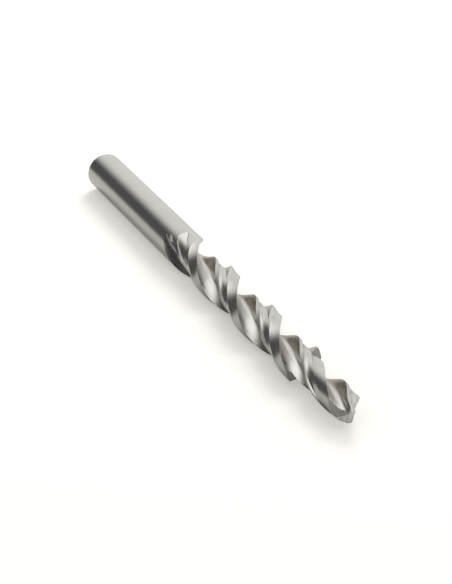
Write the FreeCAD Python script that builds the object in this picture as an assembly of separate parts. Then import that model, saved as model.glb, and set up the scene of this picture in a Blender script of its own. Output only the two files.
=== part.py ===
import FreeCAD, Part
import math
import os

from FreeCAD import Placement, Rotation, Vector

# Two-flute subland step drill, ground from one bar of high-speed steel.
# Millimetres and degrees. The drill's axis is X: the shank's end face is at x = 0 and the point is at +X.
# An angle round the axis runs from +Z towards +Y, which is from a leading edge back to its heel.

# Standard sizes of the drill
pilot_diameter = 6.8
body_diameter = 9.0
overall_length = 125.0
flute_length = 81.0
pilot_length = 20.6
helix_pitch = 39.45
point_height = 1.415
corner_angle = -10.85

# Back taper: what the body's radius loses from the shoulder to the shank, in 100 mm
back_taper = 0.03

# Shank end
shank_chamfer_width = 0.6
shank_chamfer_length = 1.1

# Turn of the bar about its axis: once it is meshed, a flat of the round shank then faces straight down
seam_turn = 47.14

# Pilot land: the strand that runs on at pilot size up to the run-out
pilot_margin_end = 12.5

# Minor groove between the two lands: a floor round the axis and a wall up to the body's edge
groove_radius = 3.02
groove_floor_start = 14.0
groove_floor_end = 50.0
groove_wall_bend = (3.5, 55.2)
groove_wall_outside = 63.0

# Body land: a full-size margin, then a land relieved down to the heel by an arc that starts outside the bar
body_edge_angle = 58.5
relief_outside = (4.63, 62.0)
relief_middle = (4.19, 84.0)
body_heel = (4.13, 103.5)

# Body strand where it is ground away along the pilot
stepped_land_radius = 3.12
stepped_land_sides = (28.0, 125.0)

# Flute pocket, as radius and angle of its points: an arc from the flat rake face round the web, then an
# arc up the wall to the heel. Face and arcs run smoothly into each other.
rake_end = (1.45, 180.0)
web = (0.652, 138.4)
wall_foot = (1.2, 98.0)
wall_middle = (2.1, 95.5)

# Run-outs: each wheel leaves the bar on an arc, and the flute's wheel moves out at an angle
flute_exit_angle = 135.0
wheel_radius = 26.0
groove_start = 48.0

# Step shoulder, a cone set off its strand's axis so that it falls away behind the edge
shoulder_half_angle = 65.0
shoulder_offset = 0.15
shoulder_offset_angle = -60.0

# Flank of the point: the grinding cone of a conical point, placed from the outer corner of the lip.
# These settings bring the chisel edge ahead of that corner by the point's height.
flank_cone_half_angle = 32.2
flank_cone_lean = 32.1
flank_cone_lean_angle = 18.1
flank_apex = (4.74, 6.71, 207.6)
flank_cone_height = 40.0

# Steep facet behind each flank. Its places are given by how far they are ahead of the lip's corner, their
# radius and their angle.
hinge_inner_end = (1.02, 0.72, 62.0)
hinge_outer_end = (-0.54, 3.1, 71.0)
heel_corner = (-2.3, 3.1, 97.5)
facet_reach = 3.0

# Turn of the helix from one section of a cutter to the next
section_turn = 30.0

pilot_radius = pilot_diameter / 2
body_radius = body_diameter / 2
flute_start = overall_length - flute_length
shoulder_x = overall_length - pilot_length
shank_radius = body_radius - back_taper / 100.0 * (shoulder_x - flute_start)
corner_x = overall_length - point_height
past_point = overall_length + 2.0
clear_depth = 0.4
clear_radius = 12.0
outer_spans = 3
fuzzy_edge = 0.001


def around(radius, angle):
    """A point of a section across the drill, from its radius and angle."""
    turn = math.radians(angle)
    return Vector(0, radius * math.sin(turn), radius * math.cos(turn))


def arc_around(radius, start, end):
    """An arc round the drill's axis."""
    return Part.Arc(around(radius, start), around(radius, (start + end) / 2), around(radius, end)).toShape()


def line(start, end):
    return Part.makeLine(start, end)


def arc_through(points):
    return Part.Arc(*points).toShape()


def edge_angle(x):
    """Where the leading edge of the pilot's land stands at a place along the drill."""
    return corner_angle - 360.0 / helix_pitch * (x - corner_x)


def exit_length(depth):
    """Length of the arc on which a wheel that cuts this deep leaves the bar."""
    return math.sqrt(2 * wheel_radius * depth - depth ** 2)


def wheel_lift(x, start_x, depth):
    """How far a wheel has risen at x, when its cut of this depth starts at start_x."""
    behind = max(0.0, start_x + exit_length(depth) - x)
    return wheel_radius - math.sqrt(wheel_radius ** 2 - behind ** 2)


def raised(point, lift, half_turn=0.0):
    """A point of an outline, moved straight out from the axis."""
    radius, angle = point
    return around(radius + lift, angle + half_turn)


def flute_waste_outline(x):
    """All that is ground away between one strand's margin and the next strand's body edge, at one place."""
    groove_depth = body_radius - groove_radius
    lift = wheel_lift(x, groove_start, groove_depth)
    flute_lift = around(wheel_lift(x, flute_start, body_radius - web[0]), flute_exit_angle)
    floor = [around(*point) + flute_lift for point in (rake_end, web, wall_foot)]
    wall = [around(*point) + flute_lift for point in (wall_foot, wall_middle, body_heel)]
    relief = [around(*point) + flute_lift for point in (body_heel, relief_middle, relief_outside)]
    groove_wall = [
        raised((body_radius, body_edge_angle), lift, 180.0),
        raised(groove_wall_bend, lift, 180.0),
        raised((groove_radius, groove_floor_end), lift, 180.0),
    ]
    groove_floor = arc_around(groove_radius + lift, groove_floor_end + 180.0, groove_floor_start + 180.0)
    groove_side = raised((groove_radius, groove_floor_start), lift, 180.0)
    margin_side = raised((pilot_radius, pilot_margin_end), lift, 180.0)
    pilot_land = arc_around(pilot_radius + lift, pilot_margin_end + 180.0, 180.0)
    lip_edge = around(pilot_radius + lift, 180.0)
    outer_angle = relief_outside[1]
    outer_step = (groove_wall_outside + 180.0 - outer_angle) / outer_spans
    outer = [around(clear_radius, outer_angle + outer_step * index) for index in range(outer_spans + 1)]
    outer_lines = [line(outer[index], outer[index + 1]) for index in range(outer_spans)]
    return Part.Wire([
        line(outer[-1], groove_wall[0]),
        arc_through(groove_wall),
        groove_floor,
        line(groove_side, margin_side),
        pilot_land,
        line(lip_edge, floor[0]),
        arc_through(floor),
        arc_through(wall),
        arc_through(relief),
        line(relief[-1], outer[0]),
    ] + outer_lines)


def helical_loft(outline, first_x, last_x, strand_angle):
    """A solid through sections that turn with the helix."""
    step = helix_pitch * section_turn / 360.0
    count = math.ceil((last_x - first_x) / step)
    sections = []
    for index in range(count + 1):
        x = first_x + index * (last_x - first_x) / count
        turn = Rotation(Vector(-1, 0, 0), edge_angle(x) + strand_angle)
        section = outline(x)
        section.Placement = Placement(Vector(x, 0, 0), turn)
        sections.append(section)
    return Part.makeLoft(sections, True)


def flute_waste(strand_angle):
    """What the flute and groove wheels take out between the two strands."""
    depth = body_radius - web[0]
    first_x = flute_start + exit_length(depth) - exit_length(depth + clear_depth)
    return helical_loft(flute_waste_outline, first_x, past_point, strand_angle)


def stepped_sector_outline(x):
    """A sector round the body's strand, from under its pilot size out past the bar."""
    start_angle, end_angle = stepped_land_sides
    middle_angle = (start_angle + end_angle) / 2
    corners = [
        around(groove_radius - clear_depth, start_angle),
        around(groove_radius - clear_depth, middle_angle),
        around(groove_radius - clear_depth, end_angle),
        around(clear_radius, end_angle),
        around(clear_radius, middle_angle),
        around(clear_radius, start_angle),
    ]
    return Part.makePolygon(corners + corners[:1])


def bar_along(radius, start_x, end_x):
    return Part.makeCylinder(radius, end_x - start_x, Vector(start_x, 0, 0), Vector(1, 0, 0))


def ground_bar():
    """The bar: a chamfered shank, the back taper along the flutes and the full body size at the shoulder."""
    profile = Part.makePolygon([
        Vector(0, 0, 0),
        Vector(0, 0, shank_radius - shank_chamfer_width),
        Vector(shank_chamfer_length, 0, shank_radius),
        Vector(flute_start, 0, shank_radius),
        Vector(flute_start, 0, 0),
        Vector(0, 0, 0),
    ])
    shank = Part.Face(profile).revolve(Vector(0, 0, 0), Vector(1, 0, 0), 360)
    tapered = Part.makeCone(
        shank_radius, body_radius, shoulder_x - flute_start, Vector(flute_start, 0, 0), Vector(1, 0, 0))
    bar = shank.fuse([tapered, bar_along(body_radius, shoulder_x, past_point)])
    bar.rotate(Vector(0, 0, 0), Vector(1, 0, 0), seam_turn)
    return bar


def stepped_waste(strand_angle):
    """Takes the body's strand down to just under pilot size, from the shoulder to the point."""
    sector = helical_loft(stepped_sector_outline, shoulder_x - body_radius, past_point, strand_angle)
    pilot = bar_along(stepped_land_radius, 0, past_point + clear_depth)
    return sector.cut(pilot).cut(shoulder_cone(strand_angle))


def shoulder_cone(strand_angle):
    """The solid behind the step's cutting edge."""
    slope = 1.0 / math.tan(math.radians(shoulder_half_angle))
    direction = edge_angle(shoulder_x) + strand_angle
    axis = around(shoulder_offset, direction + shoulder_offset_angle)
    edge = around(body_radius, direction + body_edge_angle)
    reach = (edge - axis).Length
    apex_x = shoulder_x + reach * slope
    length = 2 * clear_radius
    return Part.makeCone(0, length / slope, length, Vector(apex_x, axis.y, axis.z), Vector(-1, 0, 0))


def place_on_point(ahead, radius, angle, strand_angle):
    """A place near the point, from how far it is ahead of a lip's corner, its radius and its angle."""
    return Vector(corner_x + ahead, 0, 0) + around(radius, corner_angle + strand_angle + angle)


def flank_waste(strand_angle):
    """What the point grinder takes off one side: all that lies outside its cone."""
    apex = place_on_point(*flank_apex, strand_angle)
    lean = math.radians(flank_cone_lean)
    sideways = around(math.sin(lean), corner_angle + strand_angle + flank_cone_lean_angle)
    direction = Vector(-math.cos(lean), 0, 0) + sideways
    base_radius = flank_cone_height * math.tan(math.radians(flank_cone_half_angle))
    cone = Part.makeCone(0, base_radius, flank_cone_height, apex, direction)
    return bar_along(clear_radius, corner_x - pilot_radius, past_point + clear_depth).cut(cone)


def heel_waste(strand_angle):
    """What is ground off one heel: all ahead of a steep plane, from the web out past the bar."""
    inner_end = place_on_point(*hinge_inner_end, strand_angle)
    along_hinge = place_on_point(*hinge_outer_end, strand_angle) - inner_end
    down_heel = place_on_point(*heel_corner, strand_angle) - inner_end - along_hinge
    first_corner = inner_end - down_heel
    last_corner = inner_end + down_heel * facet_reach
    outward = along_hinge * facet_reach
    plane = Part.Face(Part.makePolygon([
        first_corner,
        last_corner,
        last_corner + outward,
        first_corner + outward,
        first_corner,
    ]))
    return plane.extrude(Vector(clear_radius, 0, 0))


def step_drill():
    drill = ground_bar()
    for waste in (flute_waste, stepped_waste, flank_waste, heel_waste):
        for strand_angle in (0.0, 180.0):
            drill = drill.cut([waste(strand_angle)], fuzzy_edge)
    return drill


os.makedirs("parts", exist_ok=True)
drill = step_drill()
print("solids", len(drill.Solids), "valid", drill.isValid(), "faces", len(drill.Faces))
print("volume", round(drill.Volume, 1), "length", round(drill.optimalBoundingBox().XLength, 3))
drill.exportStep("parts/step_drill.step")
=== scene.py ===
import math

import bmesh
import bpy
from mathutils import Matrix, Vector


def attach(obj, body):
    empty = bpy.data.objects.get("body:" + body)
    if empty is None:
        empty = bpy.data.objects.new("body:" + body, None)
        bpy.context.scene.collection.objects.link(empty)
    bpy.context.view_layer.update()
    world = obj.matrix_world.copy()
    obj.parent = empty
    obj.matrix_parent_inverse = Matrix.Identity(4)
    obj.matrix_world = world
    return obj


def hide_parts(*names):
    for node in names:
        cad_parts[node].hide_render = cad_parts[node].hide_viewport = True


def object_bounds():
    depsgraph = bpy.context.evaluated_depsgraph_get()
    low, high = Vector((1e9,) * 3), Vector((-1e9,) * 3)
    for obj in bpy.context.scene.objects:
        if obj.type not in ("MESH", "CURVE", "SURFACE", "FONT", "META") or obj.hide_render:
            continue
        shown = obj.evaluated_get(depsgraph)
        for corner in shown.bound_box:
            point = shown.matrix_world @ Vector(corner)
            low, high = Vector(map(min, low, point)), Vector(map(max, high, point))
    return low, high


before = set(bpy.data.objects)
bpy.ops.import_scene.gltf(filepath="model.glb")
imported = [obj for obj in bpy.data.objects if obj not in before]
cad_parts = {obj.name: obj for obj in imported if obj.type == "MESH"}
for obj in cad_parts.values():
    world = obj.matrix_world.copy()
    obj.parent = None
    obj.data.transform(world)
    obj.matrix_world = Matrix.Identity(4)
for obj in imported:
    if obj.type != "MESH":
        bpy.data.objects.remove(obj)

cad_low, cad_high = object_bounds()

# The drill
# One bar of high-speed steel, hardened and then ground all over. The shank and the lands are ground round,
# the flutes are ground along their helix and polished, and the step and the point are ground last.
MM = 0.001
MERGE_DISTANCE = 0.0005 * MM
SHANK_RADIUS = 4.48 * MM
ROUND_TOLERANCE = 0.006 * MM
CREASE_ANGLE = math.radians(32)
POINT_CREASE_ANGLE = math.radians(10)
HELIX_PITCH = 39.45 * MM
EDGE_START_ANGLE = math.radians(36.9)
CHAMFER_END = 1.2 * MM
STEP_START = 104.3 * MM
STEP_END = 105.6 * MM
STEP_FACING_FORWARD = 0.8
POINT_START = 119.5 * MM
POINT_FACING_FORWARD = 0.42
ROUND_SLOT, FLUTE_SLOT, POINT_SLOT, STEP_SLOT = range(4)

drill_mesh = bmesh.new()
drill_mesh.from_mesh(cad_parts["step_drill"].data)
bmesh.ops.remove_doubles(drill_mesh, verts=drill_mesh.verts, dist=MERGE_DISTANCE)
drill_mesh.normal_update()


def radius_at(place):
    """How far a place is from the drill's axis."""
    return math.hypot(place.y, place.z)


def is_round(corners):
    """Whether a face with these corners lies on the ground outside of the bar."""
    return all(radius_at(corner.co) > SHANK_RADIUS - ROUND_TOLERANCE for corner in corners)


def finish_of(face):
    """The material slot of a face."""
    along = face.calc_center_median().x
    if along > POINT_START and face.normal.x > POINT_FACING_FORWARD:
        return POINT_SLOT
    if STEP_START < along < STEP_END and face.normal.x > STEP_FACING_FORWARD:
        return STEP_SLOT
    if is_round(face.verts) or along < CHAMFER_END:
        return ROUND_SLOT
    return FLUTE_SLOT


for face in drill_mesh.faces:
    face.material_index = finish_of(face)
    face.smooth = True
for edge in drill_mesh.edges:
    slots = {face.material_index for face in edge.link_faces}
    limit = POINT_CREASE_ANGLE if slots == {POINT_SLOT} else CREASE_ANGLE
    edge.smooth = len(slots) == 1 and edge.calc_face_angle(0.0) < limit

drill_data = bpy.data.meshes.new("ground_step_drill")
drill_mesh.to_mesh(drill_data)
drill_mesh.free()
drill = bpy.data.objects.new("ground_step_drill", drill_data)
bpy.context.collection.objects.link(drill)

# The smoothness of the bar and of the groove
# The bar is ground truly round, so its shading points straight out from the axis. The minor groove's floor
# is ground hollow and climbs to the pilot's land, so the shading there leans away from that land.
GROOVE_RADIUS = 3.02 * MM
GROOVE_START_ANGLE = math.radians(13.0)
GROOVE_HOLLOW_END = math.radians(34.0)
GROOVE_HOLLOW_TILT = math.radians(34.0)


def angle_behind_edge(place):
    """How far round the axis a place is behind the pilot's leading edge of its strand."""
    round_angle = math.atan2(place.y, place.z)
    return (round_angle - EDGE_START_ANGLE + 2 * math.pi * place.x / HELIX_PITCH) % math.pi


def is_groove_floor(corners):
    """Whether a face with these corners lies on the hollow part of the groove's floor."""
    middle = sum((corner.co for corner in corners), Vector()) / len(corners)
    on_floor = all(abs(radius_at(corner.co) - GROOVE_RADIUS) < ROUND_TOLERANCE for corner in corners)
    return on_floor and GROOVE_START_ANGLE < angle_behind_edge(middle) < GROOVE_HOLLOW_END


def round_normal(place):
    """Straight out from the drill's axis."""
    return Vector((0.0, place.y, place.z)).normalized()


def groove_normal(place):
    """Out from the axis, leaning away from the pilot's land across the helix."""
    outwards = round_normal(place)
    behind = Vector((2 * math.pi * radius_at(place) / HELIX_PITCH, outwards.z, -outwards.y)).normalized()
    share = (GROOVE_HOLLOW_END - angle_behind_edge(place)) / (GROOVE_HOLLOW_END - GROOVE_START_ANGLE)
    tilt = GROOVE_HOLLOW_TILT * min(max(share, 0.0), 1.0)
    return outwards * math.cos(tilt) + behind * math.sin(tilt)


# A zero vector leaves a corner the normal of its mesh.
MESH_NORMAL = Vector((0.0, 0.0, 0.0))
corner_normals = [MESH_NORMAL] * len(drill_data.loops)
for polygon in drill_data.polygons:
    corners = [drill_data.vertices[index] for index in polygon.vertices]
    if is_round(corners):
        normal_at = round_normal
    elif is_groove_floor(corners):
        normal_at = groove_normal
    else:
        continue
    for loop_index, corner in zip(polygon.loop_indices, corners):
        corner_normals[loop_index] = normal_at(corner.co)
drill_data.normals_split_custom_set(corner_normals)

# The steel's finishes
# It is all the same steel with a slightly warm tint. The wheels leave rings round the bar, lines along the
# helix in the flutes and streaks on the step and the point, and each finish has its own gloss and contrast
# of marks. The point is coloured lighter than the rest, which is painted light, and the step darker than
# the rest.
# The cutting faces in the flutes are coloured darker and browner, which is painted shade.
STEEL_COLOUR = (0.54, 0.53, 0.50)
# Lighter than the steel elsewhere: painted light on the point.
POINT_PAINTED_LIGHT_COLOUR = (0.78, 0.765, 0.73)
# Darker than the steel elsewhere.
STEP_COLOUR = (0.42, 0.41, 0.39)
# Painted shade on the cutting faces: darker and browner than the steel.
CUTTING_FACE_SHADE_COLOUR = (0.33, 0.30, 0.25)
CUTTING_FACE_DEPTH = (0.10 * MM, 0.45 * MM)
CUTTING_FACE_START = (0.5 * MM, 1.0 * MM)
CUTTING_FACE_END = (3.20 * MM, 3.32 * MM)
LAND_START = (3.20 * MM, 3.30 * MM)
LAND_TOP = (3.45 * MM, 3.55 * MM)
LAND_DULLNESS = 0.25
NO_TURN = (0.0, 0.0, 0.0)
RING_SCALE = (7000.0, 60.0, 60.0)
HELIX_LINE_SCALE = (12.0, 2600.0, 2600.0)
STREAK_SCALE = (200.0, 2600.0, 450.0)
STREAK_TURN = (0.6, 0.0, 0.35)
MARKS_DETAIL = 4.0
TARNISH_SCALE = 190.0
TARNISH_DETAIL = 3.0
TARNISH_SHARE = 0.25
WORN_BELOW = 0.32
BRIGHT_ABOVE = 0.66
MEAN_MARK = 0.5
BUMP_STRENGTH = 0.5
OBJECT_PLACE = 3
MIX_FIRST, MIX_SECOND, MIX_RESULT = 6, 7, 2
VECTOR_OUT, NUMBER_OUT = 0, 1
X, Y, Z = 0, 1, 2
ONLY_ACROSS = (0, 1, 1)


class Value:
    """A shader socket that can be used in a Python expression."""

    def __init__(self, tree, socket):
        self.tree = tree
        self.socket = socket

    def __add__(self, other):
        return calculate(self.tree, "ADD", self, other)

    __radd__ = __add__

    def __sub__(self, other):
        return calculate(self.tree, "SUBTRACT", self, other)

    def __rsub__(self, other):
        return calculate(self.tree, "SUBTRACT", other, self)

    def __mul__(self, other):
        return calculate(self.tree, "MULTIPLY", self, other)

    __rmul__ = __mul__

    def __abs__(self):
        return calculate(self.tree, "ABSOLUTE", self)


def make_node(tree, kind, settings=None, inputs=None, output=0):
    """Makes a node, sets it up, feeds its inputs with values or links, and returns one of its outputs."""
    made = tree.nodes.new(kind)
    for name, setting in (settings or {}).items():
        setattr(made, name, setting)
    for name, source in (inputs or {}).items():
        if isinstance(source, Value):
            tree.links.new(source.socket, made.inputs[name])
        else:
            made.inputs[name].default_value = source
    return Value(tree, made.outputs[output])


def calculate(tree, operation, *numbers):
    return make_node(tree, "ShaderNodeMath", {"operation": operation}, dict(enumerate(numbers)))


def calculate_vector(tree, operation, inputs, output=VECTOR_OUT):
    return make_node(tree, "ShaderNodeVectorMath", {"operation": operation}, inputs, output)


def component(vector, axis):
    """One of the three numbers of a vector."""
    return make_node(vector.tree, "ShaderNodeSeparateXYZ", inputs={0: vector}, output=axis)


def step_between(value, low, high):
    """Rises smoothly from 0 to 1 as the value goes from low to high."""
    return make_node(value.tree, "ShaderNodeMapRange", {"interpolation_type": "SMOOTHSTEP"},
                     {"Value": value, "From Min": low, "From Max": high})


def mix_colours(share, first, second):
    return make_node(share.tree, "ShaderNodeMix", {"data_type": "RGBA"},
                     {"Factor": share, MIX_FIRST: first, MIX_SECOND: second}, MIX_RESULT)


def along_helix(place):
    """The same place in a frame that turns with the flutes: Z points to the pilot's leading edge."""
    turn = EDGE_START_ANGLE - component(place, X) * (2 * math.pi / HELIX_PITCH)
    return make_node(place.tree, "ShaderNodeVectorRotate", {"rotation_type": "X_AXIS"},
                     {"Vector": place, "Angle": turn})


def cutting_face_shade(helix_place):
    """1 on the flat face that runs in from the leading edge, where the painted shade goes, and 0 elsewhere.
    """
    beside = abs(component(helix_place, Y))
    out = abs(component(helix_place, Z))
    close = 1.0 - step_between(beside, *CUTTING_FACE_DEPTH)
    past_web = step_between(out, *CUTTING_FACE_START)
    under_land = 1.0 - step_between(out, *CUTTING_FACE_END)
    return close * past_web * under_land


def on_pilot_land(helix_place):
    """1 on the narrow land behind the pilot's leading edge, and 0 elsewhere."""
    tree = helix_place.tree
    across = calculate_vector(tree, "MULTIPLY", {0: helix_place, 1: ONLY_ACROSS})
    radius = calculate_vector(tree, "LENGTH", {0: across}, NUMBER_OUT)
    near_edge = step_between(abs(component(helix_place, Z)), *LAND_START)
    below_body = 1.0 - step_between(radius, *LAND_TOP)
    return near_edge * below_body


def bare_steel(name, colour_and_painted_light, worn_share, marks_scale, marks_turn,
               roughness, roughness_change, bump_height, helical=False):
    """Bright steel with the marks of a grinding wheel: fine grooves and small changes of gloss and tone.
    In the flutes, the cutting faces also get a painted shade.
    """
    steel = bpy.data.materials.new(name)
    steel.use_nodes = True
    tree = steel.node_tree
    shader = tree.nodes["Principled BSDF"]
    shader.inputs["Metallic"].default_value = 1.0
    place = make_node(tree, "ShaderNodeTexCoord", output=OBJECT_PLACE)
    marks_place = along_helix(place) if helical else place
    lines = make_node(tree, "ShaderNodeMapping",
                      inputs={"Vector": marks_place, "Rotation": marks_turn, "Scale": marks_scale})
    marks = make_node(tree, "ShaderNodeTexNoise",
                      inputs={"Vector": lines, "Scale": 1.0, "Detail": MARKS_DETAIL})
    tarnish = make_node(tree, "ShaderNodeTexNoise",
                        inputs={"Vector": place, "Scale": TARNISH_SCALE, "Detail": TARNISH_DETAIL})
    tone = tarnish * TARNISH_SHARE + marks * (1.0 - TARNISH_SHARE)
    bright = step_between(tone, WORN_BELOW, BRIGHT_ABOVE)
    worn_colour = [part * worn_share for part in colour_and_painted_light]
    colour = mix_colours(bright, (*worn_colour, 1.0), (*colour_and_painted_light, 1.0))
    gloss = roughness + (marks - MEAN_MARK) * roughness_change
    if helical:
        # Painted shade: the cutting faces are coloured darker and browner.
        colour = mix_colours(cutting_face_shade(marks_place), colour, (*CUTTING_FACE_SHADE_COLOUR, 1.0))
        gloss = gloss + on_pilot_land(marks_place) * LAND_DULLNESS
    bump = make_node(tree, "ShaderNodeBump",
                     inputs={"Height": marks, "Strength": BUMP_STRENGTH, "Distance": bump_height})
    tree.links.new(colour.socket, shader.inputs["Base Color"])
    tree.links.new(gloss.socket, shader.inputs["Roughness"])
    tree.links.new(bump.socket, shader.inputs["Normal"])
    return steel


ground_round = bare_steel(
    "ground_round", STEEL_COLOUR, worn_share=0.88, marks_scale=RING_SCALE, marks_turn=NO_TURN,
    roughness=0.24, roughness_change=0.10, bump_height=0.0006 * MM)
polished_flute = bare_steel(
    "polished_flute", STEEL_COLOUR, worn_share=0.80, marks_scale=HELIX_LINE_SCALE, marks_turn=NO_TURN,
    roughness=0.27, roughness_change=0.12, bump_height=0.0016 * MM, helical=True)
ground_point = bare_steel(
    "ground_point", POINT_PAINTED_LIGHT_COLOUR, worn_share=0.62, marks_scale=STREAK_SCALE, marks_turn=STREAK_TURN,
    roughness=0.62, roughness_change=0.20, bump_height=0.008 * MM)
ground_step = bare_steel(
    "ground_step", STEP_COLOUR, worn_share=0.75, marks_scale=STREAK_SCALE, marks_turn=STREAK_TURN,
    roughness=0.62, roughness_change=0.10, bump_height=0.003 * MM)
for finish in (ground_round, polished_flute, ground_point, ground_step):
    drill_data.materials.append(finish)

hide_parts("step_drill")
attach(drill, "root")

# The floor
# A matt white table, far larger than the drill. It glows a little for the camera alone, so that it stays
# white and its shadow light. In the steel, its part in front of the drill, towards the camera, is coloured
# darker: a painted shade that only reflections show.
FLOOR_REACH = 3.0
FLOOR_COLOUR = (0.80, 0.79, 0.775)
FLOOR_GLOW = (0.31, 0.30, 0.28)
PAINTED_SHADE_FROM = -0.012
PAINTED_SHADE_AT = -0.10
PAINTED_SHADE_SHARE = 0.5
CAMERA_RAY, GLOSSY_RAY = 0, 3

floor_mesh = bmesh.new()
bmesh.ops.create_grid(floor_mesh, x_segments=1, y_segments=1, size=FLOOR_REACH)
bmesh.ops.translate(floor_mesh, verts=floor_mesh.verts, vec=Vector((0, 0, cad_low[2])))
floor_data = bpy.data.meshes.new("floor")
floor_mesh.to_mesh(floor_data)
floor_mesh.free()
floor = bpy.data.objects.new("floor", floor_data)
bpy.context.collection.objects.link(floor)


def white_table():
    """Matt white, with a faint warm glow for the camera and a painted shade towards the camera for mirrored
    rays.
    """
    white = bpy.data.materials.new("white_table")
    white.use_nodes = True
    tree = white.node_tree
    shader = tree.nodes["Principled BSDF"]
    shader.inputs["Roughness"].default_value = 1.0
    shader.inputs["Specular IOR Level"].default_value = 0.0
    shader.inputs["Emission Strength"].default_value = 1.0
    seen = make_node(tree, "ShaderNodeLightPath", output=CAMERA_RAY)
    glow = calculate_vector(tree, "SCALE", {0: FLOOR_GLOW, "Scale": seen})
    mirrored = make_node(tree, "ShaderNodeLightPath", output=GLOSSY_RAY)
    place = make_node(tree, "ShaderNodeTexCoord", output=OBJECT_PLACE)
    # Painted shade in reflections: the part towards the camera is coloured darker for mirrored rays.
    far = 1.0 - step_between(component(place, Y), PAINTED_SHADE_AT, PAINTED_SHADE_FROM)
    lightness = 1.0 - mirrored * far * PAINTED_SHADE_SHARE
    colour = calculate_vector(tree, "SCALE", {0: FLOOR_COLOUR, "Scale": lightness})
    tree.links.new(colour.socket, shader.inputs["Base Color"])
    tree.links.new(glow.socket, shader.inputs["Emission Color"])
    return white


floor_data.materials.append(white_table())

# The room
# Soft even light fills it. In the steel it shows a bright side, a brighter ceiling overhead and a dark side
# towards the camera, which gives the dark band along the shank.
DARK_LEVEL = 0.11
BRIGHT_LEVEL = 1.12
OVERHEAD_LEVEL = 0.72
FILL_LEVEL = 0.70
DARK_SIDE_END = 0.05
BRIGHT_SIDE_START = 0.75
OVERHEAD = (-0.20, 0.15, 0.97)
OVERHEAD_REACH = (0.80, 1.0)
TOWARDS_CAMERA = (0.49, -0.41, 0.77)
CAMERA_REACH = (0.85, 0.96)
CAMERA_DARKNESS = 0.6
WHITE = (1.0, 1.0, 1.0, 1.0)

world = bpy.data.worlds.new("room")
bpy.context.scene.world = world
world.use_nodes = True
room = world.node_tree
direction = make_node(room, "ShaderNodeTexCoord")


def near_direction(wanted, reach):
    """Rises from 0 to 1 where the direction comes close to the wanted one. The reach is two cosines."""
    closeness = calculate_vector(room, "DOT_PRODUCT", {0: direction, 1: wanted}, NUMBER_OUT)
    return step_between(closeness, *reach)


upwards_and_across = component(direction, Z) + component(direction, Y)
behind_camera = near_direction(TOWARDS_CAMERA, CAMERA_REACH)
overhead = near_direction(OVERHEAD, OVERHEAD_REACH)
open_side = step_between(upwards_and_across, DARK_SIDE_END, BRIGHT_SIDE_START) * (1.0 - behind_camera)
lit = open_side * (BRIGHT_LEVEL - DARK_LEVEL + overhead * OVERHEAD_LEVEL)
mirrored_level = lit + DARK_LEVEL * (1.0 - CAMERA_DARKNESS * behind_camera)
camera_ray = make_node(room, "ShaderNodeLightPath", output=CAMERA_RAY)
glossy_ray = make_node(room, "ShaderNodeLightPath", output=GLOSSY_RAY)
level = FILL_LEVEL + glossy_ray * (mirrored_level - FILL_LEVEL) + camera_ray * (1.0 - FILL_LEVEL)
background = room.nodes["Background"]
background.inputs["Color"].default_value = WHITE
room.links.new(level.socket, background.inputs["Strength"])

# The daylight
# One large soft lamp high up beyond the shank's end. It throws the drill's shadow towards the camera, and
# the steel doesn't mirror it.
LAMP_DISTANCE = 0.7
LAMP_DIRECTION = Vector((-0.584, 0.464, 0.663))
LAMP_SIZE = 0.34
LAMP_POWER = 2.3
LAMP_COLOUR = (1.0, 0.985, 0.96)
LAMP_TARGET = Vector((0.06, 0.0, 0.0))

light = bpy.data.lights.new("daylight", "AREA")
light.shape = "DISK"
light.size = LAMP_SIZE
light.energy = LAMP_POWER
light.color = LAMP_COLOUR
lamp = bpy.data.objects.new("daylight", light)
lamp.location = LAMP_TARGET + LAMP_DIRECTION * LAMP_DISTANCE
lamp.rotation_euler = (-LAMP_DIRECTION).to_track_quat("-Z", "Y").to_euler()
lamp.visible_glossy = False
bpy.context.collection.objects.link(lamp)

# The camera
# It stands beyond the drill's point, above it and to one side, and looks down along the drill to its shank.
CAMERA_PLACE = (405.7 * MM, -165.8 * MM, 204.96 * MM)
CAMERA_TURN = math.radians(153.816)
CAMERA_DOWN = math.radians(28.706)
FOCAL_PIXELS = 1954.5
PHOTO_HEIGHT = 584
SENSOR_HEIGHT = 24.0
NEAREST_SEEN = 10 * MM

lens = bpy.data.cameras.new("camera")
lens.sensor_fit = "VERTICAL"
lens.sensor_height = SENSOR_HEIGHT
lens.lens = FOCAL_PIXELS / PHOTO_HEIGHT * SENSOR_HEIGHT
lens.clip_start = NEAREST_SEEN
camera = bpy.data.objects.new("camera", lens)
sight = Vector((
    math.cos(CAMERA_TURN) * math.cos(CAMERA_DOWN),
    math.sin(CAMERA_TURN) * math.cos(CAMERA_DOWN),
    -math.sin(CAMERA_DOWN),
))
camera.location = CAMERA_PLACE
camera.rotation_euler = sight.to_track_quat("-Z", "Y").to_euler()
bpy.context.collection.objects.link(camera)
bpy.context.scene.camera = camera

bpy.context.scene.view_settings.view_transform = "Standard"
